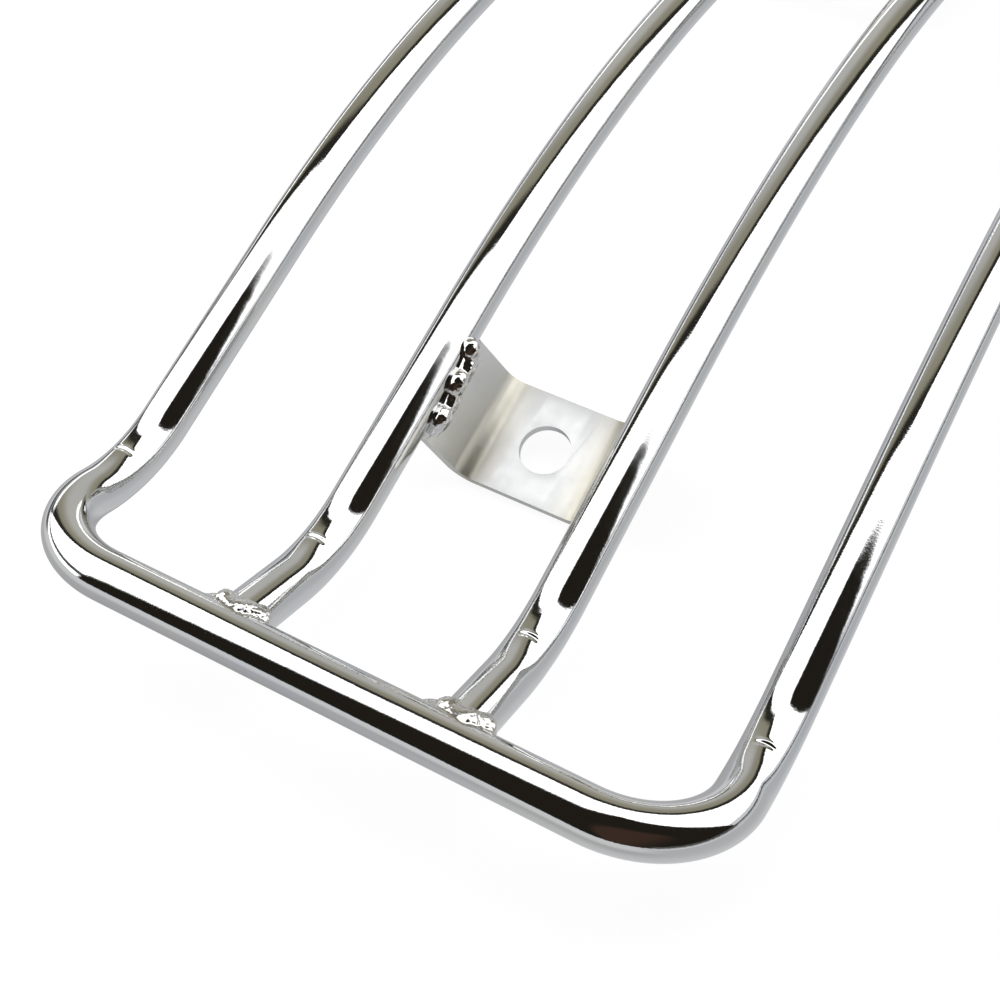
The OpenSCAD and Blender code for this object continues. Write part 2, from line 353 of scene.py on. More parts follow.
def inner_rail(name, x):
    lengths = rail_stations(KINK_START - END_LENGTH, FAR_BAR - KINK_START + END_LENGTH)
    rows = [rail_ring(x, s) for s in lengths]
    near_end, far_end = coped_end(x, 0.0, 1), coped_end(x, FAR_BAR, -1)
    steps = np.linspace(0, 1, END_STEPS + 1)[:-1, None, None]
    rings = [*(near_end + (rows[0] - near_end) * steps), *rows]
    rings += [*(far_end + (rows[-1] - far_end) * steps)[::-1]]
    return tube_piece(name, rings)


inner_left = inner_rail("inner_rail_tube_left", -INNER_X)
inner_right = inner_rail("inner_rail_tube_right", INNER_X)

# %% [markdown]
# ## The brackets
# Each is a strip of sheet steel, folded up on both sides towards the inner rails, with one bolt
# hole in its flat. We draw the strip's edge as a line with round folds, give it its thickness, and
# pull it to its width. A boolean cuts the hole, and a bevel breaks the sharp edges, as tumbling
# and polishing before the chrome bath do on the real one.

# %% Sizes of a bracket
SHEET = 2.5
TAB_WIDTH = 31.0
TAB_FLOOR = 34.8
TAB_DROP = 23.0
FOLD_R = 6.0
ROOT_GAP = 2.0
BOLT_HOLE = 14.0
NEAR_TAB_GAP = 1.5
FAR_TAB_DROP = 13.0
FAR_TAB_BACK = 60.0
NEAR_TAB_AT = ARC_START - NEAR_TAB_GAP - TAB_WIDTH / 2
FAR_TAB_AT = FAR_BAR - FAR_TAB_BACK


def fold_of(drop):
    """Angle of a bracket's folds, the lead of a fold and the length of a side, for its depth."""
    out = INNER_X - TAB_FLOOR / 2
    side_reach = math.hypot(out, drop)
    angle = math.atan2(drop, out) + math.asin(SHEET / 2 / side_reach)
    lead = FOLD_R * math.tan(angle / 2)
    return angle, lead, math.sqrt(side_reach**2 - (SHEET / 2) ** 2) - TUBE_R - ROOT_GAP - lead


for drop in (TAB_DROP, FAR_TAB_DROP):
    angle, lead, side_length = fold_of(drop)
    print("folds of %.1f degrees, sides %.1f mm long" % (math.degrees(angle), side_length))

# %% The strip, pulled to its width
FLAT_STEPS, FOLD_STEPS = 4, 16


def bracket_profile(drop, offset):
    """Right half of the bracket's edge line in X and Z, at a distance below its upper face."""
    angle, lead, side_length = fold_of(drop)
    fold_x, fold_z = TAB_FLOOR / 2 - lead, FOLD_R - drop
    radius = FOLD_R + offset
    line = [(x, -drop - offset) for x in np.linspace(0, fold_x, FLAT_STEPS + 1)[:-1]]
    for turn in np.linspace(0, angle, FOLD_STEPS + 1):
        line.append((fold_x + radius * math.sin(turn), fold_z - radius * math.cos(turn)))
    x, z = line[-1]
    c, s = math.cos(angle), math.sin(angle)
    line += [(x + c * d, z + s * d) for d in np.linspace(0, side_length, FLAT_STEPS + 1)[1:]]
    return line


def bracket_mesh(name, drop):
    upper, lower = bracket_profile(drop, 0.0), bracket_profile(drop, SHEET)
    upper = [(-x, z) for x, z in upper[::-1][:-1]] + upper
    lower = [(-x, z) for x, z in lower[::-1][:-1]] + lower
    outline = upper + lower[::-1]
    n = len(outline)
    points = [(x, y, z) for y in (-TAB_WIDTH / 2, TAB_WIDTH / 2) for x, z in outline]
    faces = [(i, (i + 1) % n, n + (i + 1) % n, n + i) for i in range(n)]
    for i in range(len(upper) - 1):
        j = n - 1 - i
        faces += [(i + 1, i, j, j - 1), (n + i, n + i + 1, n + j - 1, n + j)]
    return add_mesh(name, points, faces)


print("points on the strip's edge line:", 2 * len(bracket_profile(TAB_DROP, 0.0)) - 1)

# %% Hole, broken edges and final place
HOLE_SIDES = 72
EDGE_BREAK, EDGE_ANGLE = 0.3, math.radians(40)
BRACKET_SHARP = math.radians(35)


def settle(piece, place):
    """Applies the modifiers of a piece made in millimetres and puts its points in the rack."""
    whole = bpy.context.evaluated_depsgraph_get()
    mesh = bpy.data.meshes.new_from_object(piece.evaluated_get(whole))
    old = piece.data
    piece.modifiers.clear()
    piece.data = mesh
    mesh.name = piece.name
    bpy.data.meshes.remove(old)
    points = np.zeros(len(mesh.vertices) * 3)
    mesh.vertices.foreach_get("co", points)
    mesh.vertices.foreach_set("co", to_rack(place(points.reshape(-1, 3))).ravel())
    mesh.update()


def bracket(name, length, drop):
    piece = bracket_mesh(name, drop)
    bpy.ops.mesh.primitive_cylinder_add(
        vertices=HOLE_SIDES, radius=BOLT_HOLE / 2, depth=4 * SHEET,
        location=(0, 0, -drop - SHEET / 2),
    )
    drill = bpy.context.object
    hole = piece.modifiers.new("hole", "BOOLEAN")
    hole.object, hole.operation, hole.solver = drill, "DIFFERENCE", "EXACT"
    edges = piece.modifiers.new("edges", "BEVEL")
    edges.width, edges.segments = EDGE_BREAK, 3
    edges.limit_method, edges.angle_limit = "ANGLE", EDGE_ANGLE
    settle(piece, lambda points: on_rail(points, length))
    bpy.data.objects.remove(drill)
    return shade(piece, BRACKET_SHARP)


near_tab = bracket("near_bracket", NEAR_TAB_AT, TAB_DROP)
far_tab = bracket("far_bracket", FAR_TAB_AT, FAR_TAB_DROP)

# %% [markdown]
# ## The welds
# A weld bead is metal that froze drop by drop. Beads like these could be sculpted by hand. We put
# down a chain of balls instead, melt them together with a voxel remesh and soften the result. The
# balls are no two alike: a steady wobble stands for the unevenness of hand work. The skin then
# gets fine ripples, but only where it stands clear of the tubes, so that its edges stay sunk.

# %% A wobble, and a skin with ripples
GOLDEN_ANGLE, SEED_ANGLE = 137.5, 71.0
SKIN_FINE = 0.75
SKIN_CLEAR = 0.5
SKIN_ALONG = 0.3
SECOND_SHARE, SECOND_FINE = 0.6, 2.3


def wobble(i, seed):
    return math.sin(math.radians(i * GOLDEN_ANGLE + seed * SEED_ANGLE))


def rippled(points, height, on_bar):
    """Moves a bead's points out and in by a seeded noise, where it stands clear of the tubes."""
    away = points - np.sign(points[:, 0].mean()) * INNER_X * ACROSS
    clear = np.hypot(away[:, 0], away[:, 2]) - TUBE_R
    if on_bar:
        clear = np.minimum(clear, np.hypot(points[:, 1], points[:, 2]) - TUBE_R)
    away[:, 1] *= SKIN_ALONG
    away /= np.linalg.norm(away, axis=1)[:, None]
    spots = [Vector(p) * SKIN_FINE for p in points]
    second = [SECOND_SHARE * noise3.noise(SECOND_FINE * s) for s in spots]
    lift = np.array([noise3.noise(s) for s in spots]) + second
    return points + away * (lift * np.clip(clear / SKIN_CLEAR, 0, 1))[:, None] * height


# %% Balls melted into a bead
ROD_INSET = 0.06
ROD_SIDES = 96
BALL_SEGMENTS, BALL_RINGS = 32, 20


def bead(name, balls, rods, place, voxel, soften, skin):
    """Melts balls, and rods that lie hidden in the tubes, into one piece with a rippled skin."""
    parts = []
    for centre, radius in balls:
        bpy.ops.mesh.primitive_uv_sphere_add(
            segments=BALL_SEGMENTS, ring_count=BALL_RINGS, radius=radius, location=centre
        )
        parts.append(bpy.context.object)
    for centre, turn, length in rods:
        bpy.ops.mesh.primitive_cylinder_add(
            vertices=ROD_SIDES, radius=TUBE_R - ROD_INSET, depth=length,
            location=centre, rotation=turn,
        )
        parts.append(bpy.context.object)
    for part in parts:
        part.select_set(True)
    bpy.context.view_layer.objects.active = parts[0]
    bpy.ops.object.join()
    bpy.ops.object.transform_apply(location=True, rotation=True, scale=True)
    piece = bpy.context.object
    piece.name = name
    melt = piece.modifiers.new("melt", "REMESH")
    melt.mode, melt.voxel_size = "VOXEL", voxel
    soft = piece.modifiers.new("soft", "SMOOTH")
    soft.factor, soft.iterations = 0.5, soften
    settle(piece, lambda points: place(rippled(points, skin, bool(rods))))
    return shade(piece)


# %% [markdown]
# Between a bracket's side and the rail there is a straight row of drops, mostly hidden, which
# holds the sheet. Over it lie two ropes of weld, each a close chain of balls that swell and
# shrink. At the left rail they wander up its side, as the weld was built up from above. At the
# right rail they stay low.

# %% Sizes of a bracket's bead
TAB_LUMP_R = 3.0
TAB_LUMPS = 6
TAB_LUMP_SHARE = 0.95
TAB_BEAD_INSET = 2.4
TAB_BEAD_LEAN = {-1: (34.0, 72.0), 1: (0.0, 10.0)}  # degrees up the rail, near and far end
ROPE_BALLS = 30
ROPE_LUMPS = 4.5
ROPE_SHORT = 4.0
ROPE_OUT, ROPE_SINK = 1.5, 1.3
ROPE_PARTS = [(1.0, 0.0), (0.45, 1.4)]  # share of the lean, shift along the rail
ROPE_SWAY, SWAY_SHIFT = math.radians(7), 2.2
ROPE_STRAY = 0.4
ROPE_THIN, ROPE_SWELL = 0.56, 0.34
SWELL_ROUND, SWELL_LIFT = 0.6, 0.3
tab_bead_reach = TAB_WIDTH - 2 * TAB_BEAD_INSET
print("a bracket's bead is %.1f mm long" % tab_bead_reach)


# %% Beads that hold the brackets
def rope_spots(side, seed):
    """Angle up from the sheet, distance from the rail's axis, place along it, and radius."""
    low, high = TAB_BEAD_LEAN[side]
    spots = []
    for i in range(ROPE_BALLS):
        along = i / (ROPE_BALLS - 1)
        lean = math.radians(low + (high - low) * along)
        phase = math.pi * ROPE_LUMPS * along + ROPE_STRAY * wobble(seed, 1)
        out = TUBE_R + ROPE_OUT - ROPE_SINK * along
        y = -0.5 * tab_bead_reach + (tab_bead_reach - ROPE_SHORT) * along
        for share, shift in ROPE_PARTS:
            swell = abs(math.sin(phase + shift)) ** SWELL_ROUND
            turn = share * lean + ROPE_SWAY * math.sin(phase + SWAY_SHIFT * shift)
            r = (ROPE_THIN + ROPE_SWELL * swell) * TAB_LUMP_R
            spots.append((turn, out + SWELL_LIFT * swell, y + shift, r))
    return spots


def bracket_bead(name, side, length, drop, seed):
    sheet_lean = fold_of(drop)[0]
    spots = []
    for i in range(TAB_LUMPS):
        y = (i / (TAB_LUMPS - 1) - 0.5) * tab_bead_reach
        spots.append((0.0, TUBE_R + ROOT_GAP / 2, y, TAB_LUMP_SHARE * TAB_LUMP_R))
    balls = []
    for turn, off, y, r in spots + rope_spots(side, seed):
        x = side * (INNER_X - off * math.cos(sheet_lean - turn))
        balls.append(((x, y, -off * math.sin(sheet_lean - turn)), r))
    return bead(name, balls, [], lambda p: on_rail(p, length), voxel=0.25, soften=6, skin=0.16)


bracket_beads = [
    bracket_bead("bracket_bead_near_left", -1, NEAR_TAB_AT, TAB_DROP, 1),
    bracket_bead("bracket_bead_near_right", 1, NEAR_TAB_AT, TAB_DROP, 2),
    bracket_bead("bracket_bead_far_left", -1, FAR_TAB_AT, FAR_TAB_DROP, 3),
    bracket_bead("bracket_bead_far_right", 1, FAR_TAB_AT, FAR_TAB_DROP, 4),
]

# %% [markdown]
# Where a rail meets a crossbar the bead runs round the rail's end, down in the groove between the
# two tubes, and a web of weld metal tapers off to its left. Rods as thick as the tubes are melted
# in too, so that the softened bead flows out on to the walls and doesn't sit on them like a worm.
# The rods themselves stay hidden just inside the tubes. The far bead is made in the near one's
# place and mirrored, so its faces have to be turned outside again.

# %% Sizes of a bead at a crossbar
JOINT_LUMP_R = 2.6
JOINT_TOE = 3.6
JOINT_FROM, JOINT_TO, JOINT_STEPS = -140.0, 60.0, 10
JOINT_SINK, JOINT_RISE, JOINT_STRAY = 1.75, 1.8, 0.15
LUMP_SHARE, LUMP_STRAY, LUMP_THINNER = 0.98, 0.10, 0.06
WEB_BALLS, WEB_RUN, WEB_RISE = 9, 6.6, 0.4
WEB_R, WEB_TAPER = 2.7, 0.17
WEB_BACK, WEB_SLANT = 1.7, 0.42
BAR_ROD_AT, BAR_ROD = -2.5, 27.0
RAIL_ROD_AT, RAIL_ROD = 5.5, 15.0
print("a crossbar's bead goes %.0f degrees round the rail" % (JOINT_TO - JOINT_FROM))


# %% Beads at the crossbars
def groove_balls(x, seed):
    balls = []
    for i in range(JOINT_STEPS + 1):
        turn = math.radians(JOINT_FROM + i * (JOINT_TO - JOINT_FROM) / JOINT_STEPS)
        behind = math.hypot(TUBE_R * math.sin(turn), JOINT_TOE)
        rise = JOINT_RISE * abs(math.sin(turn))
        off = TUBE_R - JOINT_SINK + rise + JOINT_STRAY * wobble(i, seed)
        thinner_left = LUMP_THINNER * min(math.sin(turn), 0)
        r = JOINT_LUMP_R * (LUMP_SHARE + LUMP_STRAY * wobble(i, seed + 1) + thinner_left)
        balls.append(((x + off * math.sin(turn), behind, off * math.cos(turn)), r))
    return balls


def crossbar_bead(name, side, far, seed):
    x = side * INNER_X
    balls = groove_balls(x, seed)
    for run in np.linspace(0.0, WEB_RUN, WEB_BALLS):
        behind = TUBE_R + WEB_BACK - WEB_SLANT * run
        balls.append(((x - TUBE_R - run, behind, WEB_RISE), WEB_R - WEB_TAPER * run))
    rods = [
        ((x + BAR_ROD_AT, 0, 0), (0, math.pi / 2, 0), BAR_ROD),
        ((x, RAIL_ROD_AT, 0), (math.pi / 2, 0, 0), RAIL_ROD),
    ]

    def place(points):
        return on_rail(points * (1, -1, 1), FAR_BAR) if far else points

    piece = bead(name, balls, rods, place, voxel=0.28, soften=64, skin=0.24)
    if far:
        piece.data.flip_normals()
    return piece


crossbar_beads = [
    crossbar_bead("crossbar_bead_near_left", -1, False, 6),
    crossbar_bead("crossbar_bead_near_right", 1, False, 6),
    crossbar_bead("crossbar_bead_far_left", -1, True, 8),
    crossbar_bead("crossbar_bead_far_right", 1, True, 8),
]

# %% [markdown]
# ## The dressed seam
# The weld that closes the loop was ground level and polished, so under the chrome it is only a
# faint band. A short ring with a shallow hollow in it gives just that.

# %% Ring in the middle of the far crossbar
SEAM_STEPS = 8
SEAM_DIP = 0.012
seam = [bar_ring(x, True) for x in np.linspace(SEAM_HALF, -SEAM_HALF, SEAM_STEPS + 1)]
seam_middle = rail_frame(FAR_BAR)[0][1:]
for row, dip in zip(seam, SEAM_DIP * np.sin(np.linspace(0, math.pi, SEAM_STEPS + 1))):
    row[:, 1:] += (seam_middle - row[:, 1:]) * dip / TUBE_R
loop_seam = tube_piece("loop_seam_ring", seam)

# %% [markdown]
# ## Chrome
# A metallic shader with very low roughness is the base. Real chrome on welded steel isn't perfect:
# the steel below it was polished on belts and mops, which leaves a soft waviness, and here and
# there a pit. So the roughness wanders a little, a slow noise bends the mirror slightly, and the
# colour leans a touch warm or cool from place to place.

# %% Helpers for materials
def new_material(name):
    material = bpy.data.materials.new(name)
    material.use_nodes = True
    shader = material.node_tree.nodes["Principled BSDF"]
    shader.inputs["Metallic"].default_value = 1.0
    return material, material.node_tree.nodes, material.node_tree.links, shader


def noise(nodes, links, grain, where):
    """Noise of a scale, in waves to the metre, and a detail."""
    texture = nodes.new("ShaderNodeTexNoise")
    texture.inputs["Scale"].default_value, texture.inputs["Detail"].default_value = grain
    links.new(where, texture.inputs["Vector"])
    return texture.outputs["Fac"]


def ramp(nodes, links, value, stops):
    """A colour ramp with (position, colour) stops, fed by a value."""
    node = nodes.new("ShaderNodeValToRGB")
    while len(node.color_ramp.elements) < len(stops):
        node.color_ramp.elements.new(0.5)
    for element, (position, colour) in zip(node.color_ramp.elements, stops):
        element.position = position
        element.color = (*colour, 1.0)
    links.new(value, node.inputs["Fac"])
    return node.outputs["Color"]


def spread(nodes, links, value, low, high):
    """Maps a value from 0..1 to low..high."""
    node = nodes.new("ShaderNodeMapRange")
    node.inputs["To Min"].default_value = low
    node.inputs["To Max"].default_value = high
    links.new(value, node.inputs["Value"])
    return node.outputs["Result"]


def calculate(nodes, links, operation, *values):
    node = nodes.new("ShaderNodeMath")
    node.operation = operation
    for value, socket in zip(values, node.inputs):
        links.new(value, socket)
    return node.outputs["Value"]


def blend(nodes, links, way, share, below, above):
    """Lays one colour over another. Each input is a constant or the output of a node."""
    node = nodes.new("ShaderNodeMix")
    node.data_type, node.blend_type = "RGBA", way
    for key, value in (("Factor", share), ("A", below), ("B", above)):
        if isinstance(value, tuple):
            node.inputs[key].default_value = (*value, 1.0)
        elif isinstance(value, float):
            node.inputs[key].default_value = value
        else:
            links.new(value, node.inputs[key])
    return node.outputs["Result"]


def bump(nodes, links, height, strength, distance, below=None):
    node = nodes.new("ShaderNodeBump")
    node.inputs["Strength"].default_value = strength
    node.inputs["Distance"].default_value = distance
    links.new(height, node.inputs["Height"])
    if below is not None:
        links.new(below, node.inputs["Normal"])
    return node.outputs["Normal"]


# %% Chrome of the tubes
CLOUD, HAZE = (28.0, 3.0), (160.0, 4.0)
SLOW_WAVE, PIT_GRAIN = (120.0, 1.0), (2600.0, 2.0)
WAVE_DEPTH, PIT_DEPTH = 0.0004, 0.00004


def chrome(name, warm, cool, rough, wave, pits):
    material, nodes, links, shader = new_material(name)
    where = nodes.new("ShaderNodeTexCoord").outputs["Object"]
    cloud = noise(nodes, links, CLOUD, where)
    links.new(ramp(nodes, links, cloud, [(0.35, cool), (0.65, warm)]), shader.inputs["Base Color"])
    haze = noise(nodes, links, HAZE, where)
    links.new(spread(nodes, links, haze, *rough), shader.inputs["Roughness"])
    slow = bump(nodes, links, noise(nodes, links, SLOW_WAVE, where), wave, WAVE_DEPTH)
    fine = noise(nodes, links, PIT_GRAIN, where)
    links.new(bump(nodes, links, fine, pits, PIT_DEPTH, below=slow), shader.inputs["Normal"])
    return material


polished = chrome(
    "polished_chrome", (0.66, 0.66, 0.645), (0.63, 0.64, 0.65), (0.02, 0.07), wave=0.10, pits=0.16
)

# %% [markdown]
# The beads weren't polished. Their chrome is duller and wavier, most of all at the crossbars,
# where the weld is smoother in shape but mottled.

# %% Chrome of the beads
bead_chrome = chrome(
    "bead_chrome", (0.64, 0.62, 0.58), (0.66, 0.66, 0.66), (0.03, 0.12), wave=0.55, pits=0.30
)
fillet_chrome = chrome(
    "fillet_chrome", (0.58, 0.57, 0.54), (0.62, 0.62, 0.62), (0.12, 0.26), wave=0.90, pits=0.30
)
print("chrome:", polished.name, bead_chrome.name, fillet_chrome.name)

# %% [markdown]
# ## Satin chrome of the brackets
# The sheet was never polished like the tube, so its chrome is satin: the same metal, but rough
# enough to blur what it mirrors. At the folds it carries a faint straw tint from heat and from the
# bath. Painted shade makes the flat a little darker than the sides and the folds darker still, a
# painted reflection of the dark room that a fold mirrors. Both are placed by the distance from the
# bracket's middle, in metres, and the tint is broken up by noise.

# %% Chrome of the brackets
STRAW = (0.80, 0.71, 0.42)
SATIN_COOL, SATIN_WARM = (0.66, 0.665, 0.66), (0.73, 0.735, 0.73)
TINT_STOPS = [(0.0, 0.0), (0.0110, 0.0), (0.0142, 1.0), (0.0168, 0.3), (0.0235, 0.1)]
# painted shade by distance from the middle: the flat a little darker than the sides, darkest along
# the folds, a painted reflection of the dark room
PAINTED_SHADE_STOPS = [(0.0135, 0.77), (0.0165, 0.56), (0.0185, 0.84), (0.0220, 1.0)]
SATIN_CLOUD, TINT_PATCH = (60.0, 5.0), (190.0, 3.0)
SATIN_HAZE, SATIN_GRAIN = (300.0, 5.0), (1500.0, 4.0)
PATCH_FAINT, PATCH_STRONG = 0.25, 0.95
SATIN_FINE, SATIN_ROUGH = 0.30, 0.46
GRAIN_STRENGTH, GRAIN_DEPTH = 0.25, 0.00006


def greys(stops):
    return [(position, (grey, grey, grey)) for position, grey in stops]


def satin(name):
    material, nodes, links, shader = new_material(name)
    where = nodes.new("ShaderNodeTexCoord").outputs["Object"]
    cloud = noise(nodes, links, SATIN_CLOUD, where)
    plain = ramp(nodes, links, cloud, [(0.3, SATIN_COOL), (0.7, SATIN_WARM)])
    axes = nodes.new("ShaderNodeSeparateXYZ")
    links.new(where, axes.inputs["Vector"])
    off = calculate(nodes, links, "ABSOLUTE", axes.outputs["X"])
    patches = noise(nodes, links, TINT_PATCH, where)
    patches = spread(nodes, links, patches, PATCH_FAINT, PATCH_STRONG)
    tint = ramp(nodes, links, off, greys(TINT_STOPS))
    share = calculate(nodes, links, "MULTIPLY", tint, patches)
    tinted = blend(nodes, links, "MIX", share, plain, STRAW)
    # painted shade and painted reflection of the dark room, multiplied into the colour
    painted_fold_shade = ramp(nodes, links, off, greys(PAINTED_SHADE_STOPS))
    colour = blend(nodes, links, "MULTIPLY", 1.0, tinted, painted_fold_shade)
    links.new(colour, shader.inputs["Base Color"])
    haze = noise(nodes, links, SATIN_HAZE, where)
    haze = spread(nodes, links, haze, SATIN_FINE, SATIN_ROUGH)
    links.new(haze, shader.inputs["Roughness"])
    grain = noise(nodes, links, SATIN_GRAIN, where)
    grain = bump(nodes, links, grain, GRAIN_STRENGTH, GRAIN_DEPTH)
    links.new(grain, shader.inputs["Normal"])
    return material


satin_chrome = satin("satin_chrome")
print("nodes in the satin:", len(satin_chrome.node_tree.nodes))

# %% [markdown]
# ## Hand each piece to the frame
# Every piece takes its finish, hides the solid that it stands for, and rides on the one body that
# the rack has.

# %% Finish and place of every piece
dressed = [
    (outer_loop, "outer_loop", polished),
    (inner_left, "inner_rail_left", polished),
    (inner_right, "inner_rail_right", polished),
    (near_tab, "near_tab", satin_chrome),
    (far_tab, "far_tab", satin_chrome),
    (loop_seam, "loop_seam_weld", polished),
]
bead_places = ["near_left", "near_right", "far_left", "far_right"]
dressed += [(b, "tab_weld_" + n, bead_chrome) for b, n in zip(bracket_beads, bead_places)]
dressed += [(b, "joint_weld_" + n, fillet_chrome) for b, n in zip(crossbar_beads, bead_places)]
for piece, node, finish in dressed:
    piece.data.materials.clear()
    piece.data.materials.append(finish)
    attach(piece, "root")
    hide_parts(node)
print(len(dressed), "pieces stand for", len(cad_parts), "nodes")

# %% [markdown]
# ## The studio
# Polished metal needs something to mirror. This one stands under a broad white light panel that
# reaches down to the left and to the back right, beside an open dark room towards the camera and
# to the right, with a dull olive wall at the back left. Lamps and cards could be put up one by
# one. We paint them on the inside of a ball of about a metre's radius instead, by direction. Each
# part is bounded by straight edges, because that is how a real panel ends.
#
# An edge of the panel and the rack span a plane. On which side of the plane a direction lies is a
# dot product with the plane's normal, and a narrow smooth step makes the edge soft. A normal
# (a, b, c) is easiest read on a ceiling one metre up: it takes the side on which ax + by + c is
# above zero.

# %% The ball
STUDIO_R = 0.95
bpy.ops.mesh.primitive_uv_sphere_add(segments=96, ring_count=48, radius=STUDIO_R)
studio = bpy.context.object
studio.name = "studio_ball"
shade(studio)
studio.visible_camera = False
studio.visible_shadow = False
paint_job = bpy.data.materials.new("studio_light")
paint_job.use_nodes = True
sky, wires = paint_job.node_tree.nodes, paint_job.node_tree.links
sky.clear()
straight = sky.new("ShaderNodeVectorMath")
straight.operation = "NORMALIZE"
wires.new(sky.new("ShaderNodeTexCoord").outputs["Object"], straight.inputs[0])
direction = straight.outputs["Vector"]


# %% Masks by direction
def beyond(normal, soft, shift=0.0):
    """1 on the side that the normal points to, 0 on the other, over an edge of a given width."""
    dot = sky.new("ShaderNodeVectorMath")
    dot.operation = "DOT_PRODUCT"
    wires.new(direction, dot.inputs[0])
    dot.inputs[1].default_value = Vector(normal).normalized()
    step = sky.new("ShaderNodeMapRange")
    step.interpolation_type = "SMOOTHSTEP"
    step.inputs["From Min"].default_value = shift - soft
    step.inputs["From Max"].default_value = shift + soft
    wires.new(dot.outputs["Value"], step.inputs["Value"])
    return step.outputs["Result"]


def every(*masks):
    result = masks[0]
    for mask in masks[1:]:
        result = calculate(sky, wires, "MULTIPLY", result, mask)
    return result


def belt(low, high, soft, *masks):
    """A level belt round the ball between two heights, kept to the part that the masks leave."""
    return every(beyond((0, 0, 1), soft, low), beyond((0, 0, -1), soft, -high), *masks)


def paint(below, colour, mask):
    """Lays a colour, or an earlier picture, over another where the mask is 1."""
    return blend(sky, wires, "MIX", mask, below, colour)


# %% Panel and wall
WHITE = (2.3, 2.3, 2.33)
LIGHT = (0.85, 0.87, 0.90)
WALL_FAR = (0.62, 0.61, 0.58)
WALL_NEAR = (0.36, 0.34, 0.26)
SHADE = (0.03, 0.028, 0.022)
LINE = (0.12, 0.12, 0.12)
LIGHT_EDGE = (1.0, 0.0, -3.8)
GAP_EDGE, STRIP_EDGE = (-0.24, -1.0, -2.9), (-0.24, -1.0, -5.6)
WALL_EDGES = [(0.06, 1.0, -0.14), (-1.2, 1.0, -0.60), (-2.2, 1.0, -0.14)]
BACK_LEFT = (-0.70, 0.71, 0.0)


def wall_from(shift, soft):
    """The wall, without a rim of the given width along its edges."""
    return every(*[beyond(edge, soft, shift) for edge in WALL_EDGES])


panel = paint(WHITE, LIGHT, beyond(LIGHT_EDGE, 0.012))
panel = paint(panel, LINE, beyond(GAP_EDGE, 0.010))
panel = paint(panel, WHITE, beyond(STRIP_EDGE, 0.010))
wall = paint(WALL_NEAR, WALL_FAR, wall_from(0.42, 0.20))
wall = paint(SHADE, wall, wall_from(0.16, 0.06))
panel = paint(panel, wall, wall_from(0.0, 0.012))
panel = paint(panel, WHITE, belt(0.07, 0.15, 0.012, beyond(BACK_LEFT, 0.05, 0.80)))

# %% Dark room
ROOM = (0.020, 0.017, 0.013)
WARM = (0.060, 0.036, 0.026)
ROOM_FRONT, ROOM_SIDE = (0.11, -1.0, -0.07), (0.8, -0.6, -0.15)
WARM_AT, WARM_EDGE = (0.5, -0.8, 0.35), (-0.6, -0.2, 0.5)
RIGHT = (1.0, 0.3, 0.0)
room = every(beyond(ROOM_FRONT, 0.012), beyond(ROOM_SIDE, 0.030))
warm_glow = every(beyond(WARM_AT, 0.03, 0.90), beyond(WARM_EDGE, 0.2, -0.1))
panel = paint(panel, paint(ROOM, WARM, warm_glow), room)
panel = paint(panel, LINE, belt(0.02, 0.09, 0.012, beyond(RIGHT, 0.05, 0.35)))

# %% The floor, as the metal sees it
FLOOR_STEEP = (0.42, 0.42, 0.43)
FLOOR_MID = (0.54, 0.54, 0.56)
FLOOR_FAR = (0.80, 0.81, 0.83)
FLOOR_SIDE = (0.60, 0.61, 0.63)
FLOOR_LIT = (0.70, 0.71, 0.73)
LEFT = (-0.93, 0.37, 0.0)
DOWN = (0, 0, -1)
lit = every(beyond((1, 0, 0), 0.22, -0.22), beyond(DOWN, 0.20, 0.55))
floor_seen = paint(FLOOR_FAR, FLOOR_MID, beyond(DOWN, 0.12, 0.28))
floor_seen = paint(floor_seen, FLOOR_SIDE, beyond(RIGHT, 0.20, 0.30))
floor_seen = paint(floor_seen, FLOOR_STEEP, beyond(DOWN, 0.25, 0.70))
floor_seen = paint(floor_seen, FLOOR_LIT, lit)
floor_seen = paint(floor_seen, LINE, belt(-0.16, -0.02, 0.03, beyond(LEFT, 0.05, 0.85)))
floor_seen = paint(floor_seen, FLOOR_FAR, belt(-0.10, -0.05, 0.01, beyond(RIGHT, 0.05, 0.35)))
panel = paint(floor_seen, panel, beyond((0, 0, 1), 0.008))

# %% [markdown]
# The ball only shines where the metal mirrors it. Cycles is told not to aim light samples at it,
# which would cost time and add nothing, as there is hardly a matt surface in the scene.

# %% Light of the ball
glow = sky.new("ShaderNodeEmission")
wires.new(panel, glow.inputs["Color"])
wires.new(glow.outputs["Emission"], sky.new("ShaderNodeOutputMaterial").inputs["Surface"])
paint_job.cycles.emission_sampling = "NONE"
studio.data.materials.append(paint_job)
print("nodes in the studio's paint:", len(sky))

# %% [markdown]
# The lens doesn't see the ball. Where it looks past the floor it sees a plain pale backdrop.

# %% Backdrop for the lens
PALE = (1.0, 1.0, 1.0, 1.0)
world = bpy.data.worlds.new("backdrop")
bpy.context.scene.world = world
world.use_nodes = True
world.node_tree.nodes["Background"].inputs["Color"].default_value = PALE
print("backdrop:", PALE[:3])

# %% [markdown]
# The floor is a pale sheet. To the lens it is almost white, with a faint shadow below the rack.
# The metal mirrors the floor's shaded grey, which is already painted on the ball, so for
# mirrored rays the sheet is clear.

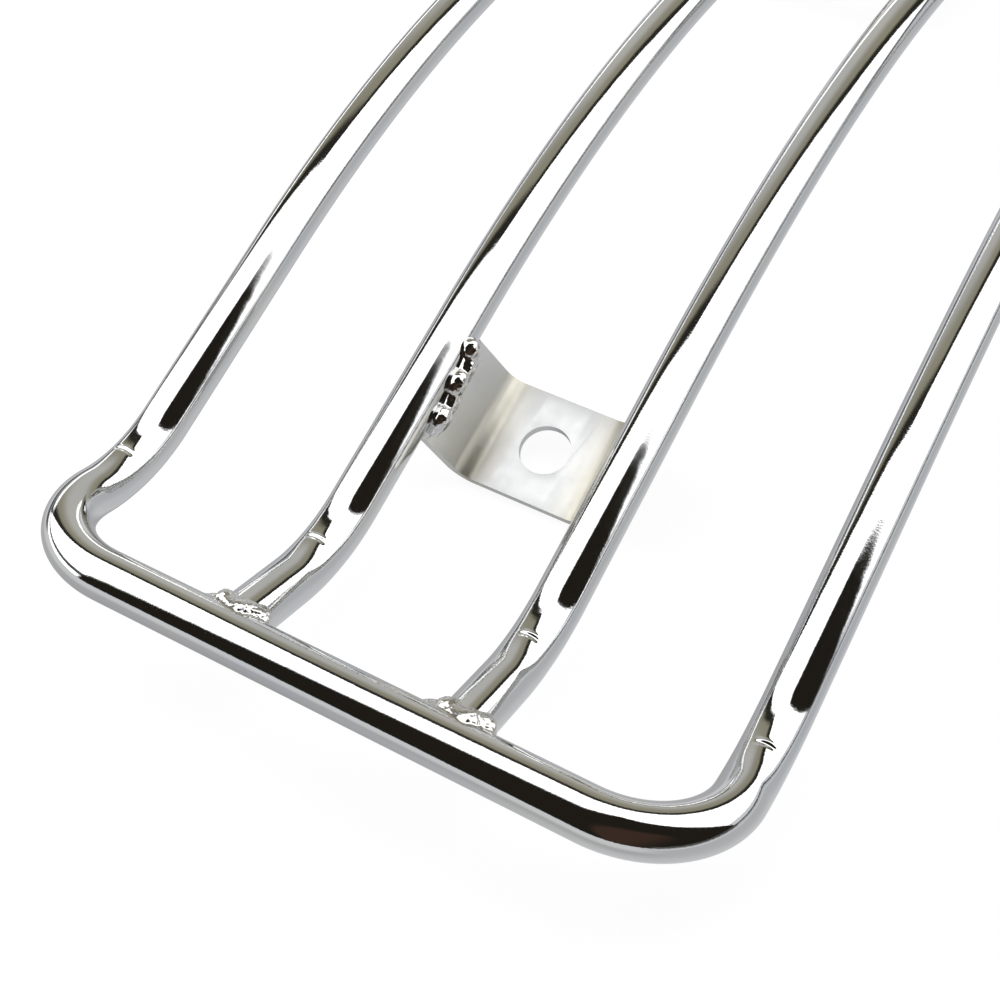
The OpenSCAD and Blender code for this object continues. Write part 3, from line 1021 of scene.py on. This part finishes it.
# %% Floor
FLOOR_SIZE = 3.0
FLOOR_GAP = 0.00005
PAPER_GREY, PAPER_GLOW = 0.13, 0.90
bpy.ops.mesh.primitive_plane_add(size=FLOOR_SIZE, location=(0, 0, cad_low[2] - FLOOR_GAP))
floor = bpy.context.object
floor.name = "floor"
paper = bpy.data.materials.new("pale_paper")
paper.use_nodes = True
nodes, links = paper.node_tree.nodes, paper.node_tree.links
nodes.remove(nodes["Principled BSDF"])
matt = nodes.new("ShaderNodeBsdfDiffuse")
matt.inputs["Color"].default_value = (PAPER_GREY, PAPER_GREY, PAPER_GREY, 1.0)
shine = nodes.new("ShaderNodeEmission")
shine.inputs["Color"].default_value = (PAPER_GLOW, PAPER_GLOW, PAPER_GLOW, 1.0)
both = nodes.new("ShaderNodeAddShader")
links.new(matt.outputs["BSDF"], both.inputs[0])
links.new(shine.outputs["Emission"], both.inputs[1])
choose = nodes.new("ShaderNodeMixShader")
links.new(nodes.new("ShaderNodeLightPath").outputs["Is Glossy Ray"], choose.inputs["Fac"])
links.new(both.outputs["Shader"], choose.inputs[1])
links.new(nodes.new("ShaderNodeBsdfTransparent").outputs["BSDF"], choose.inputs[2])
links.new(choose.outputs["Shader"], nodes["Material Output"].inputs["Surface"])
floor.data.materials.append(paper)
print("floor %.1f m wide, at z = %.5f" % (FLOOR_SIZE, floor.location.z))

# %% [markdown]
# ## The camera
# It looks down on the near end of the rack from the right, turned a little. The far end runs out
# of the frame at the top.

# %% Camera
# the angles are given in degrees, lengths in metres, the lens and its sensor in millimetres
AZIMUTH, ELEVATION, ROLL = (math.radians(a) for a in (30.7745, 51.2217, -1.6325))
TARGET = Vector((-0.001636, -0.124473, 0.008131))
DISTANCE = 0.389753
LENS, SENSOR = 54.752, 36.0
CLIP_NEAR, CLIP_FAR = 0.01, 20.0
flat = math.cos(ELEVATION)
back = Vector((math.sin(AZIMUTH) * flat, -math.cos(AZIMUTH) * flat, math.sin(ELEVATION)))
level = Vector((math.cos(AZIMUTH), math.sin(AZIMUTH), 0.0))
upright = back.cross(level)
right = math.cos(ROLL) * level + math.sin(ROLL) * upright
up = math.cos(ROLL) * upright - math.sin(ROLL) * level
aim = Matrix((right, up, back)).transposed().to_4x4()
camera = bpy.data.objects.new("camera", bpy.data.cameras.new("camera"))
bpy.context.scene.collection.objects.link(camera)
camera.data.lens, camera.data.sensor_width = LENS, SENSOR
camera.data.clip_start, camera.data.clip_end = CLIP_NEAR, CLIP_FAR
camera.matrix_world = Matrix.Translation(TARGET + DISTANCE * back) @ aim
bpy.context.scene.camera = camera
bpy.context.scene.view_settings.view_transform = "Standard"
print("camera at", tuple(round(v, 4) for v in camera.matrix_world.translation))
